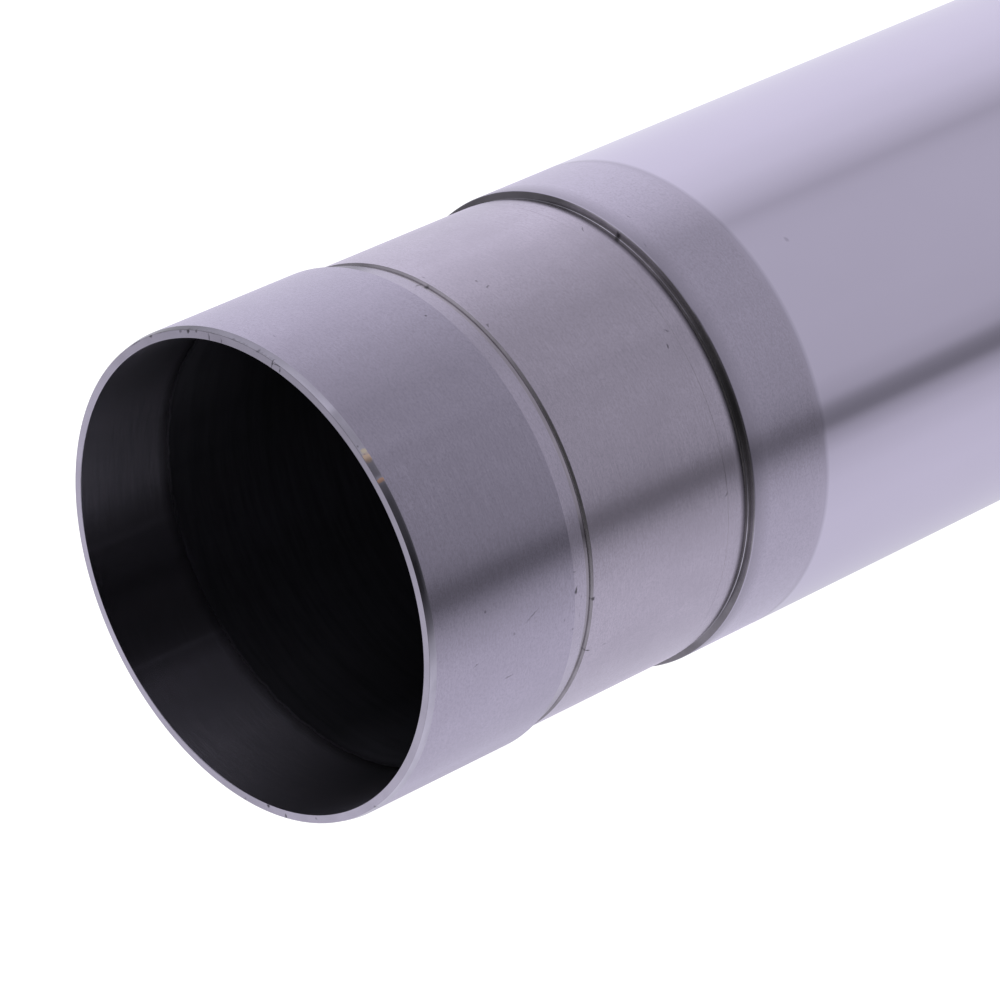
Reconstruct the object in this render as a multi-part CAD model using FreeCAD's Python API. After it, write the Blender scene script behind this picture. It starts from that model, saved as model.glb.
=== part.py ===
import FreeCAD, Part
import math
import os

os.makedirs("parts", exist_ok=True)

# Motorcycle fork tube, all sizes in mm and degrees.
# It stands on its plain end with the axis along +Z and the machined end on top.
# Lengths at the machined end are measured down from the lip face.

tube_length = 530.0          # only the upper part can be seen, the rest is a usual length
tube_radius = 21.5           # outside, ground and plated, 43 mm across
wall = 1.0                   # drawn wall below the seat

# skim cut inside the lip, which fades into the drawn bore
lip_cut = 0.14
lip_cut_length = 9.6
lip_cut_fade = 0.7

# outer chamfer of the lip
lip_chamfer_width = 0.16
lip_chamfer_length = 0.62

# end land, with a slow lead from it down to the first relief
land_length = 16.2
lead_angle = 15.0

# ground seat of the slide bush, with a relief at each end
seat_depth = 0.47            # below the outside
seat_length = 17.7
relief_depth = 0.18          # below the seat
relief_width = 0.08
relief_round = 0.08          # nose of the tool
first_relief_angle = 46.0    # from the first relief up to the seat
last_relief_angle = 14.5     # from the seat down to the last relief

# shoulder that stops the bush
shoulder_angle = 77.0

# plain end
foot_chamfer = 0.25
foot_bore_chamfer = 0.15


def run(rise, angle):
    """Length along the axis that a slope of this angle takes for its rise."""
    return rise / math.tan(math.radians(angle))


bore_radius = tube_radius - wall
lip_bore_radius = bore_radius + lip_cut
seat_radius = tube_radius - seat_depth
relief_radius = seat_radius - relief_depth

first_relief = land_length + run(seat_depth + relief_depth, lead_angle)
seat_start = first_relief + run(relief_depth, first_relief_angle)
seat_end = seat_start + seat_length
last_relief_start = seat_end + run(relief_depth, last_relief_angle)
last_relief_end = last_relief_start + relief_width
shoulder_top = last_relief_end + run(seat_depth + relief_depth, shoulder_angle)

# corners of the half section as radius, depth and the size of the round there
corners = [
    (lip_bore_radius, 0.0, 0.0),
    (tube_radius - lip_chamfer_width, 0.0, 0.0),
    (tube_radius, lip_chamfer_length, 0.0),
    (tube_radius, land_length, 0.0),
    (relief_radius, first_relief, relief_round),
    (seat_radius, seat_start, 0.0),
    (seat_radius, seat_end, 0.0),
    (relief_radius, last_relief_start, relief_round),
    (relief_radius, last_relief_end, relief_round),
    (tube_radius, shoulder_top, 0.0),
    (tube_radius, tube_length - foot_chamfer, 0.0),
    (tube_radius - foot_chamfer, tube_length, 0.0),
    (bore_radius + foot_bore_chamfer, tube_length, 0.0),
    (bore_radius, tube_length - foot_bore_chamfer, 0.0),
    (bore_radius, lip_cut_length + lip_cut_fade, 0.0),
    (lip_bore_radius, lip_cut_length, 0.0),
]


def place(radius, depth):
    return FreeCAD.Vector(radius, 0.0, tube_length - depth)


def half_section():
    """Closed wire of straight lines, with an arc where a corner has a round."""
    count = len(corners)
    starts = []
    ends = []
    arcs = []
    for index in range(count):
        radius, depth, size = corners[index]
        here = place(radius, depth)
        if size == 0.0:
            starts.append(here)
            ends.append(here)
            arcs.append(None)
            continue
        before = place(corners[index - 1][0], corners[index - 1][1])
        after = place(corners[(index + 1) % count][0], corners[(index + 1) % count][1])
        back = (before - here).normalize()
        ahead = (after - here).normalize()
        half_turn = back.getAngle(ahead) / 2.0
        reach = size / math.tan(half_turn)
        inward = (back + ahead).normalize()
        centre = here + inward * (size / math.sin(half_turn))
        starts.append(here + back * reach)
        ends.append(here + ahead * reach)
        arcs.append(Part.Arc(starts[-1], centre - inward * size, ends[-1]).toShape())
    edges = []
    for index in range(count):
        if arcs[index] is not None:
            edges.append(arcs[index])
        edges.append(Part.LineSegment(ends[index], starts[(index + 1) % count]).toShape())
    return Part.Wire(edges)


fork_tube = Part.Face(half_section()).revolve(
    FreeCAD.Vector(0, 0, 0), FreeCAD.Vector(0, 0, 1), 360)
if fork_tube.Volume < 0:
    fork_tube.reverse()

print("valid", fork_tube.isValid(), "solids", len(fork_tube.Solids))
print("volume", round(fork_tube.Volume, 1), "thinnest wall", round(relief_radius - bore_radius, 3))
print("seat from", round(seat_start, 3), "to", round(seat_end, 3), "shoulder top", round(shoulder_top, 3))

fork_tube.exportStep("parts/fork_tube.step")
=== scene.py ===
import bpy
import bmesh
import math
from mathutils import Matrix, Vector


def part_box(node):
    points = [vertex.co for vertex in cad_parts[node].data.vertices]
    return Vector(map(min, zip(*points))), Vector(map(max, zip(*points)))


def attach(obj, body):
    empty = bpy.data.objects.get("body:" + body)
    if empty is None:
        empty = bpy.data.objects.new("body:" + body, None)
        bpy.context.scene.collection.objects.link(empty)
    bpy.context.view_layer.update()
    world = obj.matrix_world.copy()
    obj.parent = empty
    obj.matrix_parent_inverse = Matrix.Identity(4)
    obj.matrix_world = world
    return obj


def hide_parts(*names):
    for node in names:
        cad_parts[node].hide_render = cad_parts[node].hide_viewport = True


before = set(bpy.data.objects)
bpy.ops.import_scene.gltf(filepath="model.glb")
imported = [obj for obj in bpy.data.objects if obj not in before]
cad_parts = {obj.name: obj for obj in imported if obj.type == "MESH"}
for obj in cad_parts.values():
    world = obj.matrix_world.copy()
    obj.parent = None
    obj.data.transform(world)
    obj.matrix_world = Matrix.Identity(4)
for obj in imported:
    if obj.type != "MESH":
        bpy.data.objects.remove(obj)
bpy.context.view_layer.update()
scene = bpy.context.scene
mm = 0.001

# the tube's profile, the same sizes as the solid, in mm below the lip face
tube = {
    "node": "fork_tube",
    "radius": 21.5,
    "wall": 1.0,
    "lipCut": 0.14,             # skim cut inside the lip
    "lipCutLength": 9.6,
    "lipCutFade": 0.7,
    "lipCutSlope": 3.5,         # how many such fades the drawn slope is long
    "chamferWidth": 0.16,
    "chamferLength": 0.62,
    "landLength": 16.2,
    "leadLength": 2.426,
    "leadDulls": 18.0,          # below this the lead is as turned, not ground
    "seatDepth": 0.47,
    "reliefDepth": 0.18,
    "seatStart": 18.8,
    "seatLine": 34.7,           # fine tool line across the seat
    "lineWidth": 0.1,
    "lineDepth": 0.012,
    "pastLine": 0.006,          # how much lower the seat is past the line
    "rollStart": 35.8,          # the seat rolls off into its last relief
    "rollEnd": 36.8,
    "reliefStart": 37.196,
    "reliefEnd": 37.276,
    "shoulderTop": 37.426,
    "shoulderRound": 0.12,
    "platingStart": 46.12,
    "platingThickness": 0.01,
    "platingRise": 0.3,         # the plating reaches its thickness over this length
    "footChamfer": 0.25,
    "footBoreChamfer": 0.15,
    "edgeBreak": 0.035,         # hand broken edges
    "lipBreak": 0.02,
    "steps": 384,
}
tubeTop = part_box(tube["node"])[1].z
print("frame loaded, tube top at", round(tubeTop, 4))


def darker(color, share):
    return [part * share for part in color]


def newMaterial(name, baseColor, metallic, roughness):
    material = bpy.data.materials.new(name)
    material.use_nodes = True
    shader = material.node_tree.nodes["Principled BSDF"]
    shader.inputs["Base Color"].default_value = (*baseColor, 1)
    shader.inputs["Metallic"].default_value = metallic
    shader.inputs["Roughness"].default_value = roughness
    return material, material.node_tree, shader


def addNode(tree, kind, **settings):
    node = tree.nodes.new(kind)
    for key, value in settings.items():
        setattr(node, key, value)
    return node


def patterned(tree, name):
    stretch, scale, detail, roughness = patterns[name]
    coords = addNode(tree, "ShaderNodeTexCoord")
    mapping = addNode(tree, "ShaderNodeMapping")
    mapping.inputs["Scale"].default_value = stretch
    noise = addNode(tree, "ShaderNodeTexNoise")
    noise.inputs["Scale"].default_value = scale
    noise.inputs["Detail"].default_value = detail
    noise.inputs["Roughness"].default_value = roughness
    tree.links.new(coords.outputs["Object"], mapping.inputs["Vector"])
    tree.links.new(mapping.outputs["Vector"], noise.inputs["Vector"])
    return noise.outputs["Fac"]


def mapped(tree, value, low, high, toLow, toHigh):
    node = addNode(tree, "ShaderNodeMapRange")
    node.inputs["From Min"].default_value = low
    node.inputs["From Max"].default_value = high
    node.inputs["To Min"].default_value = toLow
    node.inputs["To Max"].default_value = toHigh
    tree.links.new(value, node.inputs["Value"])
    return node.outputs["Result"]


def mixedColor(tree, factor, first, second, blend="MIX"):
    node = addNode(tree, "ShaderNodeMix", data_type="RGBA", blend_type=blend)
    if hasattr(factor, "links"):
        tree.links.new(factor, node.inputs["Factor"])
    else:
        node.inputs["Factor"].default_value = factor
    for socket, value in ((node.inputs[6], first), (node.inputs[7], second)):
        if hasattr(value, "links"):
            tree.links.new(value, socket)
        else:
            socket.default_value = (*value, 1)
    return node.outputs[2]


def bumped(tree, shader, height, strength):
    bump = addNode(tree, "ShaderNodeBump")
    bump.inputs["Strength"].default_value = strength
    bump.inputs["Distance"].default_value = texture["bumpDistance"]
    tree.links.new(height, bump.inputs["Height"])
    tree.links.new(bump.outputs["Normal"], shader.inputs["Normal"])


def alongTurning(tree, shader):
    tangent = addNode(tree, "ShaderNodeTangent", direction_type="UV_MAP", uv_map="turned")
    tree.links.new(tangent.outputs["Tangent"], shader.inputs["Tangent"])


def placeAlong(tree, axis):
    coords = addNode(tree, "ShaderNodeTexCoord")
    split = addNode(tree, "ShaderNodeSeparateXYZ")
    tree.links.new(coords.outputs["Object"], split.inputs["Vector"])
    return split.outputs[axis]


def filledRamp(tree, factor, stops):
    ramp = addNode(tree, "ShaderNodeValToRGB")
    elements = ramp.color_ramp.elements
    while len(elements) > 1:
        elements.remove(elements[-1])
    for index, (position, color) in enumerate(stops):
        element = elements[0] if index == 0 else elements.new(position)
        element.position = position
        element.color = (*color, 1)
    tree.links.new(factor, ramp.inputs["Fac"])
    return ramp.outputs["Color"]


# paints light and shade round the tube: the color is multiplied by a share for each turn
def paintShadeAround(tree, color, paintedShadeAround):
    heading = addNode(tree, "ShaderNodeMath", operation="ARCTAN2")
    tree.links.new(placeAlong(tree, "Y"), heading.inputs[0])
    tree.links.new(placeAlong(tree, "X"), heading.inputs[1])
    turn = mapped(tree, heading.outputs[0], -math.pi, math.pi, 0, 1)
    shade = filledRamp(tree, turn, [((angle + 180) / 360, [share] * 3) for angle, share in paintedShadeAround])
    return mixedColor(tree, 1.0, color, shade, "MULTIPLY")


# paints light and shade across the tube: the color is multiplied by a share for each place along X
def paintShadeAcross(tree, color, paintedShadeAcross):
    reach = tube["radius"]
    across = mapped(tree, placeAlong(tree, "X"), -reach * mm, reach * mm, 0, 1)
    shade = filledRamp(tree, across, [((place / reach + 1) / 2, [share] * 3) for place, share in paintedShadeAcross])
    return mixedColor(tree, 1.0, color, shade, "MULTIPLY")


texture = {
    "bumpDistance": 0.00001,    # m
    "polishBump": 0.04,
    "ridgeBump": 0.06,
    "boreBump": 0.05,
    "grainShare": 0.74,         # the share of the color left in the dark parts of a pattern
    "cloudShare": 0.8,
    "skimLineShare": 0.8,
    "drawnLineShare": 0.75,
    "platingCloudShare": 0.97,
    "dirtAndShadeShare": 0.12,
    "markWobble": 0.3,          # how far a mark's outline strays, in mm
    "wobbleScale": 3200,
    "markDepth": 2,             # how deep a mark is beside the tool lines
    "markEdge": (0.5, 1.1),     # a mark fades between these shares of its half length
    "markReach": 1.5,           # how far a mark reaches under the outside, in mm
    "lipMarkReach": 0.4,        # and under the lip face
    "polishSpread": (0.85, 1.2),    # how far the roughness goes down and up in a finish
    "grindSpread": (0.92, 1.08),
    "turningSpread": (0.8, 1.5),
}
# the noise of each finish: its stretch, where 18 along Z makes fine rings, then scale, detail and roughness
patterns = {
    "platingCloud": ((1, 1, 0.6), 60, 3, 0.5),
    "polish": ((1, 1, 60), 90, 2, 0.5),
    "grinding": ((1, 1, 18), 620, 3, 0.65),
    "grain": ((1, 1, 1.6), 4200, 2, 0.6),
    "groundCloud": ((1, 1, 0.7), 110, 4, 0.65),
    "stain": ((1, 1, 3), 330, 3, 0.6),
    "ridges": ((1, 1, 14), 700, 2, 0.6),
    "speckle": ((1, 1, 1), 900, 3, 0.6),
    "skimLines": ((1, 1, 30), 260, 3, 0.6),
    "drawnStreaks": ((1, 1, 9), 150, 3, 0.6),
}
# lists of places along X in mm, and lists of degrees round the tube, give the share of color left at each
# place: painted light and shade, lighter above 1 and darker below
# fallsOff holds a start and an end in mm below the lip face and the share that is left at the end
plating = {"color": (0.785, 0.735, 0.865), "roughness": 0.08, "edgeWidth": 0.5, "edgeShare": 0.70}
land = {"color": (0.56, 0.52, 0.618), "roughness": 0.23, "anisotropy": 1.0, "contrast": 0.93, "cloudy": 0.35,
        "paintedShadeAcross": [(-21.5, 1.0), (-20.8, 1.22), (-20, 1.14), (-18.8, 1.08), (-15, 1.03), (-11, 1.01),
                   (-8.5, 0.9), (-5.8, 0.89), (0, 0.93), (3, 0.9), (8, 0.9), (10.5, 0.97), (12.9, 0.89),
                   (15, 0.92), (17, 1.03), (20.7, 1.15)],
        "fallsOff": []}
lead = {"color": (0.575, 0.53, 0.62), "roughness": 0.22, "anisotropy": 1.0, "contrast": 0.95, "cloudy": 0.3,
        "paintedShadeAcross": [(-20.9, 0.8), (-20, 0.77), (-18.8, 1.15), (-17.2, 1.22), (-15.4, 1.09), (-11, 1.04),
                   (-8.5, 0.92), (-5.8, 1.03), (-3, 0.96), (5, 1), (8, 0.92), (12.9, 0.94), (17.5, 1.12),
                   (18.6, 1.02), (19.5, 0.36), (20.7, 0.29)],
        "fallsOff": []}
# the seat's fall into its last relief, from 36.2 to 36.95 mm, is painted shade
seat = {"color": (0.63, 0.58, 0.665), "roughness": 0.225, "anisotropy": 1.0, "contrast": 0.92, "cloudy": 0.6,
        "paintedShadeAcross": [(-21, 1.15), (-20, 1.14), (-18.8, 1.06), (-17, 1.01), (-8.5, 1.03), (0, 1.02),
                   (2.5, 0.95), (8, 0.92), (10.5, 0.98), (12.9, 0.92), (15, 0.99), (17, 1.13), (21, 1.11)],
        "fallsOff": [(36.2, 36.95, 0.15)]}
collar = {"color": (0.63, 0.585, 0.69), "roughness": 0.205, "anisotropy": 1.0, "contrast": 0.95, "cloudy": 0.3,
          "paintedShadeAcross": [(-21.5, 1.3), (-20, 1.1), (-17.2, 0.97), (-11, 1), (-8.5, 0.93), (-5.8, 0.9),
                     (0, 0.98), (5.3, 0.94), (8, 0.92), (12.9, 0.97), (15, 1), (18.5, 1.11), (20.7, 1.16)],
          "fallsOff": [(39.4, 37.5, 0.68), (45.5, 46.05, 0.93)]}
# the lip and the reliefs keep the lathe's finish, with a little dirt in them; their shares paint light and
# shade by place, and the reliefs and the shoulder wall are darker than the lip, partly the turned finish and
# partly painted shade in the grooves
lipFace = {"color": (0.433, 0.409, 0.463), "roughness": 0.11, "stained": 0.88, "metallic": 1.0,
           "paintedShadeAround": [(-180, 1.01), (-168, 0.93), (-144, 0.89), (-120, 0.86), (-108, 0.79), (-96, 0.68),
                     (-84, 0.68), (-72, 0.60), (-36, 0.62), (-24, 0.58), (-12, 0.67), (0, 0.70), (12, 0.78),
                     (24, 0.86), (36, 0.94), (60, 0.93), (84, 0.99), (96, 0.99), (108, 0.92), (132, 0.86),
                     (150, 0.87), (168, 0.97), (180, 1.01)]}
lipChamfer = {"color": (0.62, 0.595, 0.67), "roughness": 0.06, "stained": 0.88, "metallic": 1.0,
              "paintedShadeAcross": [(-21.5, 1.0), (-20.8, 1.1), (-19.6, 1.03), (-17.3, 0.93), (-14.3, 0.85),
                         (-10.7, 1.15), (-9, 1.1), (8, 1), (12.9, 0.75), (14.3, 0.60), (17.3, 0.54),
                         (18.9, 0.50), (20.9, 0.15)],
              # small warm spots, as the marks below, with a color in place of the darkness
              "warmSpots": [(-75.9, 0.38, 0.55, 0.7, 20, (0.90, 0.79, 0.60)),
                         (-77.5, 0.3, 0.9, 1.2, 0, (0.92, 0.70, 0.52)),
                         (-83.1, 0.3, 0.4, 1.4, 0, (1.0, 0.64, 0.46))]}
# the broken edge of the lip is a dark line, and its shares by turn paint shade on it round the tube, darkest
# between about -25 and 6 degrees
lipEdge = {"color": (0.25, 0.235, 0.26), "roughness": 0.15, "stained": 0.85, "metallic": 1.0,
           "paintedShadeAround": [(-180, 1.5), (-120, 1.4), (-100, 1.1), (-50, 0.95), (-40, 0.6), (-25, 0.35), (6, 0.25),
                     (30, 0.9), (60, 1.3), (180, 1.5)]}
leadEnd = {"color": (0.43, 0.395, 0.43), "roughness": 0.13, "stained": 0.8, "metallic": 1.0, "paintedShadeAcross": [(0, 1)]}
relief = {"color": (0.32, 0.30, 0.32), "roughness": 0.16, "stained": 0.7, "metallic": 0.85,
          "paintedShadeAcross": [(-21, 0.75), (-18, 0.85), (-15, 1), (14, 1), (18, 0.8), (19.5, 0.45)]}
valley = {"color": (0.48, 0.46, 0.50), "roughness": 0.10, "stained": 0.8, "metallic": 1.0,
          "paintedShadeAcross": [(-20, 0.6), (-16, 1), (-10, 1), (-6, 0.7), (0, 0.75), (4, 1), (14, 1), (18, 0.3)]}
shoulder = {"color": (0.34, 0.32, 0.34), "roughness": 0.14, "stained": 0.7, "metallic": 0.88,
            "paintedShadeAcross": [(-20, 0.5), (-18, 0.4), (-15.5, 0.75), (-13.3, 0.95), (-8.5, 0.66), (-3, 0.45),
                       (2.5, 0.9), (8, 1), (14, 1), (18, 0.22)]}
bore = {
    "skimmed": (0.50, 0.48, 0.545),
    "drawn": (0.075, 0.075, 0.084),
    "skimmedRoughness": 0.22,
    "drawnRoughness": 0.5,
    # painted light and shade across the drawn bore
    "drawnPaintedShade": [(-17.2, 0.45), (-14.7, 0.3), (-11.6, 0.33), (-8, 0.48), (-4.3, 0.55), (0, 1),
                    (7.6, 0.9), (11.2, 0.4), (14.2, 0.3), (16.9, 0.4)],
    # painted light and shade across the skimmed bore; the sharp peaks near -2.9 and 7.8 mm are painted
    # reflections, thin bright lines
    "skimmedPaintedShadeAndReflections": [(-19.1, 0.49), (-17.2, 0.67), (-14.7, 1.12), (-11.6, 1.5), (-8.1, 1.3), (-4.6, 1.02),
                      (-3.3, 0.8), (-2.9, 0.98), (-2.5, 0.66), (-0.3, 0.56), (2, 0.52), (3.8, 0.36),
                      (7.3, 0.75), (7.8, 1.1), (8.3, 0.94), (11.2, 1.6), (14.2, 1.24), (16.9, 1.05),
                      (18.8, 0.75), (20.1, 0.62)],
    "anisotropy": 1.0,
    "fadeStart": 8.9,           # the cut fades out between these depths
    "fadeEnd": 10.6,
    "ragged": 0.5,
    "lean": -0.034,             # how far the drawn bore leans out of the cut's centre
}


# nicks and scratches from handling, each as its turn round the tube in degrees, its depth below the lip,
# length and width in mm, its lean from running round the tube in degrees, and how dark it is
marks = [
    (-6.8, 3.35, 0.5, 0.14, 20, 0.7), (-39.0, 2.55, 0.35, 0.14, 0, 0.3),
    (-22.8, 2.25, 0.35, 0.12, 0, 0.3), (-118.8, 6.2, 0.3, 0.22, 0, 0.5),
    (-130.5, 5.05, 0.8, 0.08, 70, 0.5), (-138.0, 9.1, 1.1, 0.1, 84, 0.7),
    (-127.2, 9.25, 0.35, 0.25, 0, 0.35), (-124.8, 11.35, 1.8, 0.1, 59, 0.65),
    (-51.8, 14.85, 0.3, 0.26, 0, 0.8), (-129.8, 15.0, 0.3, 0.2, 0, 0.35),
    (-119.5, 16.3, 0.5, 0.1, -65, 0.5), (-124.0, 16.4, 0.75, 0.4, 8, 0.95),
    (-133.2, 16.1, 0.3, 0.2, 0, 0.35), (-126.5, 17.2, 0.6, 0.12, 10, 0.35),
    (-131.0, 17.0, 0.5, 0.14, 0, 0.35), (-42.2, 18.4, 0.9, 0.5, 55, 0.98),
    (-40.6, 18.1, 1.4, 0.2, 72, 0.7), (-129.0, 18.8, 0.4, 0.4, 0, 0.85),
    (-143.4, 18.95, 1.2, 0.14, -62, 0.9), (-38.8, 19.25, 0.45, 0.16, 10, 0.6),
    (-60.0, 19.25, 0.5, 0.2, 30, 0.6), (-144.2, 21.1, 0.6, 0.1, 80, 0.5),
    (-47.2, 22.35, 0.35, 0.26, 0, 0.5), (-50.0, 22.65, 0.5, 0.22, 60, 0.6),
    (-81.8, 33.5, 0.55, 0.2, 15, 0.8), (-78.5, 34.25, 0.6, 0.16, -50, 0.6),
    (-118.8, 34.65, 0.7, 0.1, 60, 0.5), (-45.0, 35.45, 0.9, 0.14, 35, 0.6),
    (-35.4, 37.05, 1.2, 0.45, 5, 0.7), (-33.6, 37.15, 0.8, 0.3, -20, 0.5),
    (-51.5, 37.25, 0.7, 0.35, 0, 0.9), (-57.8, 38.1, 0.5, 0.12, 20, 0.4),
    (-48.5, 39.6, 0.5, 0.14, 0, 0.35), (-70.8, 50.8, 0.6, 0.45, 0, 0.22),
]
# the same on the lip face, with the radius in place of the depth; five long thin ones along the rim are painted
# shade, not nicks
lipMarks = [
    (0.4, 21.34, 2.3, 0.16, 6, 0.8), (-4.9, 21.34, 0.45, 0.4, 0, 0.95),
    (-15.9, 21.2, 0.4, 0.3, 30, 0.6), (-18.6, 21.25, 0.35, 0.6, -20, 0.98),
    (-21.3, 21.28, 0.25, 0.4, 0, 0.75), (-24.4, 21.5, 0.3, 0.2, 0, 0.35),
    (-25.4, 20.9, 0.18, 0.8, 0, 0.75), (-29.5, 20.85, 0.2, 0.5, 0, 0.6),
    (-33.5, 21.36, 0.4, 0.16, 0, 0.5), (-41.2, 21.36, 0.4, 0.18, 0, 0.6),
    (-46.0, 21.1, 0.17, 1.0, -4, 0.9), (-47.3, 21.25, 1.0, 0.15, 8, 0.8),
    (-48.4, 20.98, 0.16, 0.55, 12, 0.8), (148.8, 20.76, 0.45, 0.38, 0, 0.95),
    (154.6, 21.14, 0.32, 0.4, 0, 0.9), (165.3, 20.91, 0.3, 0.25, 0, 0.4),
    (-172.6, 21.36, 0.28, 0.28, 0, 0.6), (141.0, 21.2, 0.3, 0.3, 0, 0.35),
    # the five long thin marks at 21.33 mm, from -9 to -43 degrees, paint shade: a dark line along the lip's
    # outer edge
    (-9.0, 21.33, 3.0, 0.1, 0, 0.5), (-17.5, 21.33, 3.0, 0.1, 0, 0.4),
    (-26.0, 21.33, 3.0, 0.09, 0, 0.3), (-34.5, 21.33, 3.0, 0.09, 0, 0.35),
    (-43.0, 21.33, 2.6, 0.08, 0, 0.25), (-74.4, 21.44, 0.3, 0.12, 25, 0.8),
    (-75.6, 21.48, 0.25, 0.1, -40, 0.75), (-76.6, 21.44, 0.25, 0.12, 30, 0.6),
]


def markMask(tree, coords, mark, onLip):
    turn, place, length, width, lean, darkness = mark
    angle = math.radians(turn)
    radius = place if onLip else tube["radius"]
    height = 0 if onLip else -place
    spot = addNode(tree, "ShaderNodeMapping", vector_type="TEXTURE")
    middle = texture["markWobble"] / 2      # the wobble moves everything by half its size
    spot.inputs["Location"].default_value = ((radius * math.cos(angle) + middle) * mm,
                                             (radius * math.sin(angle) + middle) * mm,
                                             tubeTop + (height + middle) * mm)
    along = angle + math.pi / 2
    if onLip:
        spot.inputs["Rotation"].default_value = (0, 0, along + math.radians(lean))
        spot.inputs["Scale"].default_value = (length / 2 * mm, width / 2 * mm,
                                              texture["lipMarkReach"] * mm)
    else:
        spot.inputs["Rotation"].default_value = (0, math.radians(lean), along)
        spot.inputs["Scale"].default_value = (length / 2 * mm, texture["markReach"] * mm, width / 2 * mm)
    tree.links.new(coords, spot.inputs["Vector"])
    reach = addNode(tree, "ShaderNodeVectorMath", operation="LENGTH")
    tree.links.new(spot.outputs["Vector"], reach.inputs[0])
    return mapped(tree, reach.outputs["Value"], *texture["markEdge"], darkness, 0)


def wobbled(tree):
    coords = addNode(tree, "ShaderNodeTexCoord")
    wobble = addNode(tree, "ShaderNodeTexNoise")
    wobble.inputs["Scale"].default_value = texture["wobbleScale"]
    tree.links.new(coords.outputs["Object"], wobble.inputs["Vector"])
    moved = addNode(tree, "ShaderNodeVectorMath", operation="MULTIPLY_ADD")
    moved.inputs[1].default_value = [texture["markWobble"] * mm] * 3
    tree.links.new(wobble.outputs["Color"], moved.inputs[0])
    tree.links.new(coords.outputs["Object"], moved.inputs[2])
    return moved.outputs["Vector"]


def spreadRoughness(tree, shader, pattern, roughness, spread):
    rough = mapped(tree, pattern, 0.3, 0.7, roughness * spread[0], roughness * spread[1])
    tree.links.new(rough, shader.inputs["Roughness"])


def markedColor(tree, shader, color, marked, bare, height, strength):
    coords = wobbled(tree)
    mask = None
    for mark, onLip in marked:
        spot = markMask(tree, coords, mark, onLip)
        if mask is None:
            mask = spot
        else:
            either = addNode(tree, "ShaderNodeMath", operation="MAXIMUM")
            tree.links.new(mask, either.inputs[0])
            tree.links.new(spot, either.inputs[1])
            mask = either.outputs[0]
    if mask is None:
        tree.links.new(color, shader.inputs["Base Color"])
        bumped(tree, shader, height, strength)
        return
    # marks take a darker, dirty color, which on the five long rim marks of the lip is painted shade
    dirtAndShade = darker(bare, texture["dirtAndShadeShare"])
    tree.links.new(mixedColor(tree, mask, color, dirtAndShade), shader.inputs["Base Color"])
    dented = addNode(tree, "ShaderNodeMath", operation="MULTIPLY_ADD")
    dented.inputs[1].default_value = -texture["markDepth"]
    tree.links.new(mask, dented.inputs[0])
    tree.links.new(height, dented.inputs[2])
    bumped(tree, shader, dented.outputs[0], strength)


def marksBetween(start, end):
    return [(mark, False) for mark in marks if start < mark[1] < end]


def makePlating():
    material, tree, shader = newMaterial("hardPlating", plating["color"], 1.0, plating["roughness"])
    cloud = patterned(tree, "platingCloud")
    color = mixedColor(tree, mapped(tree, cloud, 0.35, 0.65, 0, 1), plating["color"],
                       darker(plating["color"], texture["platingCloudShare"]))
    edge = tubeTop - tube["platingStart"] * mm
    nearEdge = mapped(tree, placeAlong(tree, "Z"), edge - plating["edgeWidth"] * mm, edge, 0, 1)
    color = mixedColor(tree, nearEdge, color, darker(plating["color"], plating["edgeShare"]))
    polish = patterned(tree, "polish")
    spreadRoughness(tree, shader, polish, plating["roughness"], texture["polishSpread"])
    markedColor(tree, shader, color, marksBetween(tube["platingStart"], tubeTop / mm), plating["color"],
                polish, texture["polishBump"])
    return material


def makeGround(name, values, marked):
    material, tree, shader = newMaterial(name, values["color"], 1.0, values["roughness"])
    lines = patterned(tree, "grinding")
    grain = patterned(tree, "grain")
    cloud = patterned(tree, "groundCloud")
    color = mixedColor(tree, mapped(tree, lines, 0.35, 0.65, 0, 1), values["color"],
                       darker(values["color"], values["contrast"]))
    color = mixedColor(tree, mapped(tree, grain, 0.42, 0.72, 0, 0.6), color,
                       darker(values["color"], texture["grainShare"]))
    color = mixedColor(tree, mapped(tree, cloud, 0.42, 0.68, 0, values["cloudy"]), color,
                       darker(values["color"], texture["cloudShare"]))
    color = paintShadeAcross(tree, color, values["paintedShadeAcross"])
    for start, end, share in values["fallsOff"]:
        fallen = mapped(tree, placeAlong(tree, "Z"), tubeTop - start * mm, tubeTop - end * mm, 0, 1)
        color = mixedColor(tree, fallen, color, darker(values["color"], share))
    spreadRoughness(tree, shader, lines, values["roughness"], texture["grindSpread"])
    shader.inputs["Anisotropic"].default_value = values["anisotropy"]
    shader.inputs["Anisotropic Rotation"].default_value = 0.25
    alongTurning(tree, shader)
    markedColor(tree, shader, color, marked, values["color"], lines, texture["polishBump"])
    return material


def makeTurned(name, values, marked):
    material, tree, shader = newMaterial(name, values["color"], values["metallic"], values["roughness"])
    stain = patterned(tree, "stain")
    color = mixedColor(tree, mapped(tree, stain, 0.35, 0.7, 0, 1), values["color"],
                       darker(values["color"], values["stained"]))
    if "paintedShadeAround" in values:
        color = paintShadeAround(tree, color, values["paintedShadeAround"])
    else:
        color = paintShadeAcross(tree, color, values["paintedShadeAcross"])
    for *place, tone in values.get("warmSpots", []):
        color = mixedColor(tree, markMask(tree, wobbled(tree), (*place, 1), False), color, tone)
    ridges = patterned(tree, "ridges")
    spreadRoughness(tree, shader, ridges, values["roughness"], texture["turningSpread"])
    markedColor(tree, shader, color, marked, values["color"], ridges, texture["ridgeBump"])
    return material


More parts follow.
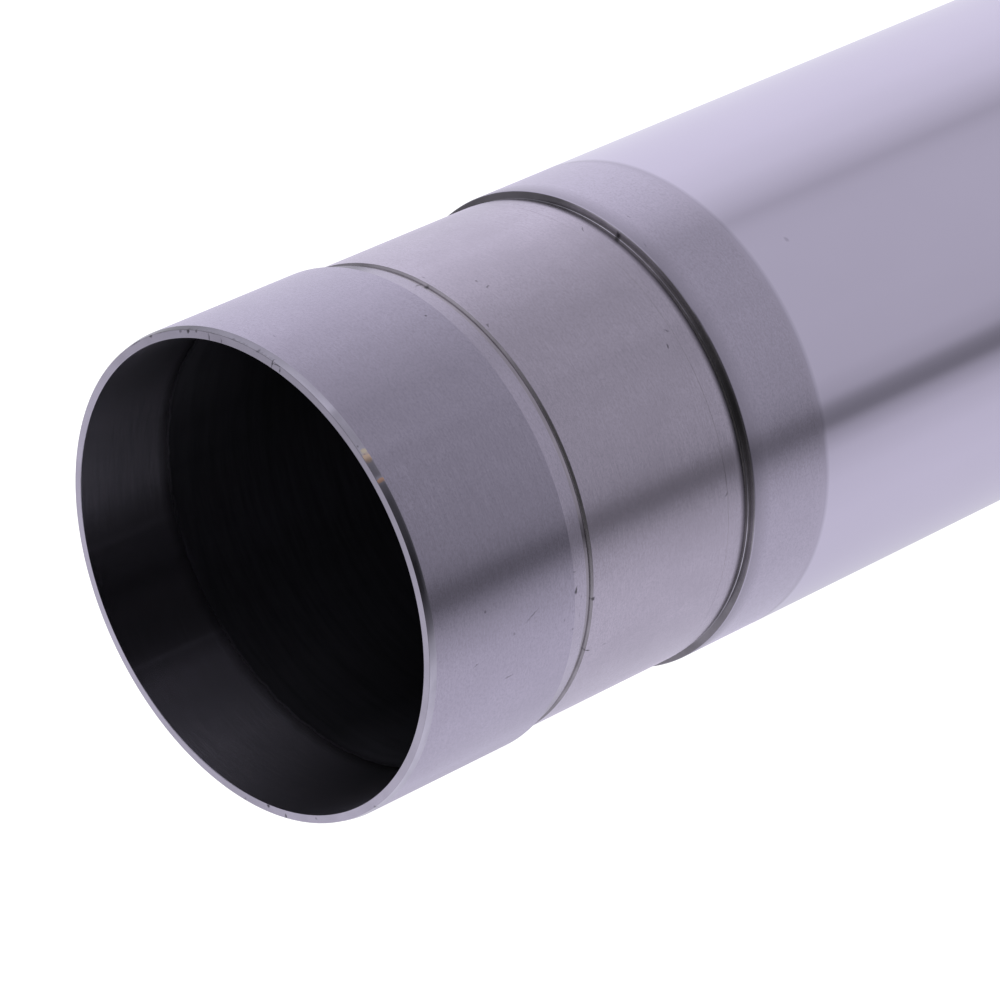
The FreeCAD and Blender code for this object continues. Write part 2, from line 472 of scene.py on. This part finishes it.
def makeBore():
    material, tree, shader = newMaterial("boreWall", bore["drawn"], 1.0, bore["drawnRoughness"])
    lean = addNode(tree, "ShaderNodeMath", operation="MULTIPLY_ADD")
    lean.inputs[1].default_value = bore["lean"]
    tree.links.new(placeAlong(tree, "X"), lean.inputs[0])
    tree.links.new(placeAlong(tree, "Z"), lean.inputs[2])
    speckle = patterned(tree, "speckle")
    ragged = addNode(tree, "ShaderNodeMath", operation="MULTIPLY_ADD")
    ragged.inputs[1].default_value = bore["ragged"] * mm
    tree.links.new(speckle, ragged.inputs[0])
    tree.links.new(lean.outputs[0], ragged.inputs[2])
    top = tubeTop + bore["ragged"] / 2 * mm
    fade = mapped(tree, ragged.outputs[0], top - bore["fadeStart"] * mm, top - bore["fadeEnd"] * mm, 0, 1)
    lines = patterned(tree, "skimLines")
    skimmed = mixedColor(tree, mapped(tree, lines, 0.35, 0.7, 0, 1), bore["skimmed"],
                         darker(bore["skimmed"], texture["skimLineShare"]))
    skimmed = paintShadeAcross(tree, skimmed, bore["skimmedPaintedShadeAndReflections"])
    streaks = patterned(tree, "drawnStreaks")
    drawn = mixedColor(tree, mapped(tree, streaks, 0.4, 0.7, 0, 1), bore["drawn"],
                       darker(bore["drawn"], texture["drawnLineShare"]))
    drawn = paintShadeAcross(tree, drawn, bore["drawnPaintedShade"])
    color = mixedColor(tree, mapped(tree, fade, 0, 0.85, 0, 1), skimmed, drawn)
    tree.links.new(color, shader.inputs["Base Color"])
    tree.links.new(mapped(tree, fade, 0.6, 1, bore["skimmedRoughness"], bore["drawnRoughness"]),
                   shader.inputs["Roughness"])
    shader.inputs["Anisotropic"].default_value = bore["anisotropy"]
    shader.inputs["Anisotropic Rotation"].default_value = 0.25
    alongTurning(tree, shader)
    bumped(tree, shader, lines, texture["boreBump"])
    return material


def profileCorners():
    t = tube
    outer, plated = t["radius"], t["radius"]
    bare = outer - t["platingThickness"]
    inner = outer - t["wall"]
    lipInner = inner + t["lipCut"]
    seated = outer - t["seatDepth"]
    relief = seated - t["reliefDepth"]
    leadFall = (bare - relief) / t["leadLength"]
    length = tubeTop / mm
    pastLine = seated - t["pastLine"]
    reach, fall = t["reliefStart"] - t["rollStart"], t["reliefDepth"] - t["pastLine"]
    rolledOff = [(pastLine - fall * share ** 2, t["rollStart"] + reach * share, 0)
                 for share in (0, 0.2, 0.4, 0.6, 0.8)]
    return [
        (lipInner, 0.0, t["edgeBreak"]),
        (outer - t["chamferWidth"], 0.0, t["lipBreak"]),
        (bare, t["chamferLength"], t["edgeBreak"]),
        (bare, t["landLength"], t["edgeBreak"]),
        (bare - leadFall * (t["leadDulls"] - t["landLength"]), t["leadDulls"], 0),
        (relief, t["landLength"] + t["leadLength"], t["edgeBreak"]),
        (seated, t["seatStart"], t["edgeBreak"]),
        (seated, t["seatLine"], 0),
        (seated - t["lineDepth"], t["seatLine"] + t["lineWidth"] / 2, 0),
        (pastLine, t["seatLine"] + t["lineWidth"], 0),
        *rolledOff,
        (relief, t["reliefStart"], t["edgeBreak"]),
        (relief, t["reliefEnd"], t["edgeBreak"]),
        (bare, t["shoulderTop"], t["shoulderRound"]),
        (bare, t["platingStart"], 0),
        (outer, t["platingStart"] + t["platingRise"], 0),
        (outer, length - t["footChamfer"], t["edgeBreak"]),
        (outer - t["footChamfer"], length, t["edgeBreak"]),
        (inner + t["footBoreChamfer"], length, t["edgeBreak"]),
        (inner, length - t["footBoreChamfer"], t["edgeBreak"]),
        (inner, t["lipCutLength"] + t["lipCutFade"] * t["lipCutSlope"], 0),
        (lipInner - t["lipCut"] / 2, t["lipCutLength"] + t["lipCutFade"], 0),
        (lipInner, t["lipCutLength"] - t["lipCutFade"], 0),
    ]


def finishOf(radius, depth, outside, normal):
    t = tube
    length = tubeTop / mm
    if radius > (t["radius"] - t["wall"] / 2) * mm or abs(normal.z) > 0.5:
        broken = depth < t["lipBreak"] and abs(normal.z) < 0.999
        if broken and radius > (t["radius"] - t["chamferWidth"] - t["lipBreak"]) * mm:
            return "lipEdge"
        if depth < t["chamferLength"] + 0.01 or depth > length - t["footChamfer"]:
            return "lipFace" if abs(normal.z) > 0.5 else "lipChamfer"
    if not outside:
        return "boreWall"
    if depth > t["platingStart"] + 0.01:
        return "hardPlating"
    if depth > t["shoulderTop"]:
        return "groundCollar"
    if depth > t["reliefEnd"] + 0.02:
        return "shoulderWall"
    if depth > t["reliefStart"] - 0.01:
        return "reliefValley"
    if depth > t["rollEnd"]:
        return "reliefs"
    if t["seatLine"] < depth < t["seatLine"] + t["lineWidth"] / 2:
        return "leadEnd"
    if t["leadDulls"] < depth < t["landLength"] + t["leadLength"] - 0.05:
        return "leadEnd"
    if depth < t["leadDulls"]:
        return "groundLand" if depth < t["landLength"] else "groundLead"
    return "reliefs" if depth < t["seatStart"] else "groundSeat"


def buildTube():
    corners = profileCorners()
    mesh = bmesh.new()
    points = [mesh.verts.new((r * mm, 0, tubeTop - depth * mm)) for r, depth, size in corners]
    for first, second in zip(points, points[1:] + points[:1]):
        mesh.edges.new((first, second))
    for size in sorted({corner[2] for corner in corners} - {0}):
        broken = [point for point, corner in zip(points, corners) if corner[2] == size]
        bmesh.ops.bevel(mesh, geom=broken, offset=size * mm, offset_type="OFFSET", affect="VERTICES",
                        segments=2, profile=0.5, material=-1, clamp_overlap=True)
    bmesh.ops.spin(mesh, geom=mesh.verts[:] + mesh.edges[:], cent=(0, 0, 0), axis=(0, 0, 1), dvec=(0, 0, 0),
                   angle=math.tau, steps=tube["steps"], use_merge=True)
    bmesh.ops.remove_doubles(mesh, verts=mesh.verts, dist=1e-7)
    bmesh.ops.recalc_face_normals(mesh, faces=mesh.faces)
    around = mesh.loops.layers.uv.new("turned")
    middle = (tube["radius"] - tube["wall"] / 2) * mm
    t = tube
    lip = [(mark, True) for mark in lipMarks]
    grooves = marksBetween(t["leadDulls"] - 1, t["shoulderTop"] + 1)
    finishes = [
        makePlating(), makeBore(),
        makeGround("groundLand", land, marksBetween(0, t["seatStart"])),
        makeGround("groundLead", lead, marksBetween(t["landLength"] - 1, t["seatStart"])),
        makeGround("groundSeat", seat, marksBetween(t["seatStart"] - 1, t["shoulderTop"])),
        makeGround("groundCollar", collar, marksBetween(t["reliefStart"], t["platingStart"])),
        makeTurned("lipFace", lipFace, lip), makeTurned("lipChamfer", lipChamfer, lip),
        makeTurned("lipEdge", lipEdge, lip),
        makeTurned("leadEnd", leadEnd, grooves), makeTurned("reliefs", relief, grooves),
        makeTurned("reliefValley", valley, grooves), makeTurned("shoulderWall", shoulder, grooves),
    ]
    finishNames = [finish.name for finish in finishes]
    for face in mesh.faces:
        face.smooth = True
        centre = face.calc_center_median()
        radius = centre.xy.length
        depth = (tubeTop - centre.z) / mm
        outside = face.normal.x * centre.x + face.normal.y * centre.y > 0
        face.material_index = finishNames.index(finishOf(radius, depth, outside, face.normal))
        facing = math.atan2(centre.y, centre.x)
        for loop in face.loops:
            at = loop.vert.co
            turn = math.atan2(at.y, at.x)
            if turn - facing > math.pi:
                turn -= math.tau
            elif facing - turn > math.pi:
                turn += math.tau
            loop[around].uv = (turn * middle, at.z)
    data = bpy.data.meshes.new("forkTube")
    mesh.to_mesh(data)
    mesh.free()
    data.set_sharp_from_angle(angle=math.radians(4))
    piece = bpy.data.objects.new("forkTube", data)
    scene.collection.objects.link(piece)
    for finish in finishes:
        data.materials.append(finish)
    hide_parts(tube["node"])
    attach(piece, "root")
    print("tube", len(data.polygons), "faces")
    return piece


buildTube()


# the studio: a white floor, a white room, and the bands that polished steel mirrors
# each band is a heading seen from the tube, 0 towards the camera and plus to its left, and a brightness
studio = {
    "floorSize": 16.0,
    "floorColor": (0.86, 0.86, 0.86),
    "floorGlow": 0.45,
    "tint": (1.015, 1.0, 1.13),
    "worldLight": 0.85,
    "closeFloor": (0.33, 0.45),     # the mirrored floor turns from close to low bands between these
    "farFloor": (1.0, 2.2),         # and from low to high bands between these
    "ceiling": (0.10, 0.10, 0.11),
    "ceilingStart": 48,         # degrees above the horizon
    "ceilingFull": 60,
    "closeBands": [(-180, 0.36), (-165, 0.38), (-155, 0.55), (-141, 0.84), (-121, 0.84), (-100, 0.69),
                   (-77, 0.53), (-50, 0.53), (-21, 0.54), (0, 0.55), (35, 0.53), (48, 0.47), (55, 0.28),
                   (60, 0.10), (67, 0.10), (72, 0.28), (78, 0.54), (87, 0.59), (104, 0.665), (144, 0.66),
                   (153, 0.58), (163, 0.45), (180, 0.40)],
    "lowBands": [(-180, 0.76), (-165, 0.79), (-150, 0.79), (-120, 0.77), (-100, 0.74), (-80, 0.66),
                 (-66, 0.52), (-58, 0.42), (-50, 0.475), (-40, 0.485), (0, 0.475), (24, 0.45), (34, 0.38),
                 (39, 0.23), (43, 0.185), (46, 0.185), (51, 0.35), (60, 0.51), (75, 0.60), (95, 0.64),
                 (125, 0.64), (145, 0.65), (160, 0.645), (172, 0.66), (180, 0.72)],
    "highBands": [(-180, 0.95), (-150, 1.12), (-120, 1.2), (-90, 1.04), (-75, 0.95), (-60, 0.75),
                  (-53, 0.72), (-48.5, 0.68), (-46, 0.43), (-36, 0.385), (-30, 0.36), (-29, 0.4),
                  (-23.4, 0.38), (-22.6, 0.17), (-15.2, 0.14), (-14.4, 0.3), (-13.1, 0.3), (-12.4, 0.11),
                  (-4, 0.062), (10, 0.045), (22, 0.02), (34, 0.026), (40, 0.058), (45, 0.10), (50, 0.15),
                  (60, 0.4), (72, 0.84), (100, 1.06), (150, 1.2), (170, 1.0), (180, 0.95)],
}


def bandRamp(tree, vector, bands):
    split = addNode(tree, "ShaderNodeSeparateXYZ")
    tree.links.new(vector, split.inputs["Vector"])
    left = addNode(tree, "ShaderNodeMath", operation="MULTIPLY")
    left.inputs[1].default_value = -1
    near = addNode(tree, "ShaderNodeMath", operation="MULTIPLY")
    near.inputs[1].default_value = -1
    tree.links.new(split.outputs["X"], left.inputs[0])
    tree.links.new(split.outputs["Y"], near.inputs[0])
    heading = addNode(tree, "ShaderNodeMath", operation="ARCTAN2")
    tree.links.new(left.outputs[0], heading.inputs[0])
    tree.links.new(near.outputs[0], heading.inputs[1])
    turn = mapped(tree, heading.outputs[0], -math.pi, math.pi, 0, 1)
    stops = [((angle + 180) / 360, [level * part for part in studio["tint"]]) for angle, level in bands]
    return filledRamp(tree, turn, stops), split


def makeFloor():
    material = bpy.data.materials.new("studioFloor")
    material.use_nodes = True
    tree = material.node_tree
    tree.nodes.clear()
    output = addNode(tree, "ShaderNodeOutputMaterial")
    light = addNode(tree, "ShaderNodeLightPath")
    matt = addNode(tree, "ShaderNodeBsdfDiffuse")
    matt.inputs["Color"].default_value = (*studio["floorColor"], 1)
    glow = addNode(tree, "ShaderNodeEmission")
    glow.inputs["Color"].default_value = (1, 1, 1, 1)
    strength = addNode(tree, "ShaderNodeMath", operation="MULTIPLY")
    strength.inputs[1].default_value = studio["floorGlow"]
    tree.links.new(light.outputs["Is Camera Ray"], strength.inputs[0])
    tree.links.new(strength.outputs[0], glow.inputs["Strength"])
    both = addNode(tree, "ShaderNodeAddShader")
    tree.links.new(matt.outputs[0], both.inputs[0])
    tree.links.new(glow.outputs[0], both.inputs[1])
    coords = addNode(tree, "ShaderNodeTexCoord")
    ramps = [bandRamp(tree, coords.outputs["Object"], studio[bands])[0]
             for bands in ("closeBands", "lowBands", "highBands")]
    reach = addNode(tree, "ShaderNodeVectorMath", operation="LENGTH")
    tree.links.new(coords.outputs["Object"], reach.inputs[0])
    beyond = [mapped(tree, reach.outputs["Value"], *studio[edge], 0, 1) for edge in ("closeFloor", "farFloor")]
    mirrored = addNode(tree, "ShaderNodeEmission")
    nearer = mixedColor(tree, beyond[0], ramps[0], ramps[1])
    tree.links.new(mixedColor(tree, beyond[1], nearer, ramps[2]), mirrored.inputs["Color"])
    pick = addNode(tree, "ShaderNodeMixShader")
    tree.links.new(light.outputs["Is Glossy Ray"], pick.inputs["Fac"])
    tree.links.new(both.outputs[0], pick.inputs[1])
    tree.links.new(mirrored.outputs[0], pick.inputs[2])
    tree.links.new(pick.outputs[0], output.inputs["Surface"])
    return material


def buildStudio():
    mesh = bmesh.new()
    bmesh.ops.create_grid(mesh, x_segments=1, y_segments=1, size=studio["floorSize"] / 2)
    data = bpy.data.meshes.new("studioFloor")
    mesh.to_mesh(data)
    mesh.free()
    floor = bpy.data.objects.new("studioFloor", data)
    scene.collection.objects.link(floor)
    data.materials.append(makeFloor())

    world = bpy.data.worlds.new("studioRoom")
    scene.world = world
    world.use_nodes = True
    tree = world.node_tree
    tree.nodes.clear()
    output = addNode(tree, "ShaderNodeOutputWorld")
    light = addNode(tree, "ShaderNodeLightPath")
    coords = addNode(tree, "ShaderNodeTexCoord")
    high, split = bandRamp(tree, coords.outputs["Generated"], studio["highBands"])
    above = mapped(tree, split.outputs["Z"], math.sin(math.radians(studio["ceilingStart"])),
                   math.sin(math.radians(studio["ceilingFull"])), 0, 1)
    bands = addNode(tree, "ShaderNodeBackground")
    tree.links.new(mixedColor(tree, above, high, studio["ceiling"]), bands.inputs["Color"])
    soft = addNode(tree, "ShaderNodeBackground")
    soft.inputs["Strength"].default_value = studio["worldLight"]
    white = addNode(tree, "ShaderNodeBackground")
    first = addNode(tree, "ShaderNodeMixShader")
    tree.links.new(light.outputs["Is Glossy Ray"], first.inputs["Fac"])
    tree.links.new(soft.outputs[0], first.inputs[1])
    tree.links.new(bands.outputs[0], first.inputs[2])
    second = addNode(tree, "ShaderNodeMixShader")
    tree.links.new(light.outputs["Is Camera Ray"], second.inputs["Fac"])
    tree.links.new(first.outputs[0], second.inputs[1])
    tree.links.new(white.outputs[0], second.inputs[2])
    tree.links.new(second.outputs[0], output.inputs["Surface"])
    for background in (soft, white):
        background.inputs["Color"].default_value = (1, 1, 1, 1)
    print("studio ready")


buildStudio()

# the camera that the photo's own circles and edges lead back to
view = {
    "lens": 214.8,
    "fromMouth": (-0.002756, -0.394088, 0.285536),
    "lookDown": 38.44,
    "roll": -114.7,
}


def placeCamera():
    camera = bpy.data.objects.new("photoCamera", bpy.data.cameras.new("photoCamera"))
    scene.collection.objects.link(camera)
    camera.data.lens = view["lens"]
    camera.data.sensor_width = 36
    camera.location = Vector((0, 0, tubeTop)) + Vector(view["fromMouth"])
    camera.rotation_mode = "ZYX"
    camera.rotation_euler = (math.radians(90 - view["lookDown"]), 0, math.radians(view["roll"]))
    camera.data.clip_start = 0.02
    camera.data.clip_end = 100
    scene.camera = camera
    print("camera placed")


placeCamera()
scene.view_settings.view_transform = "Standard"
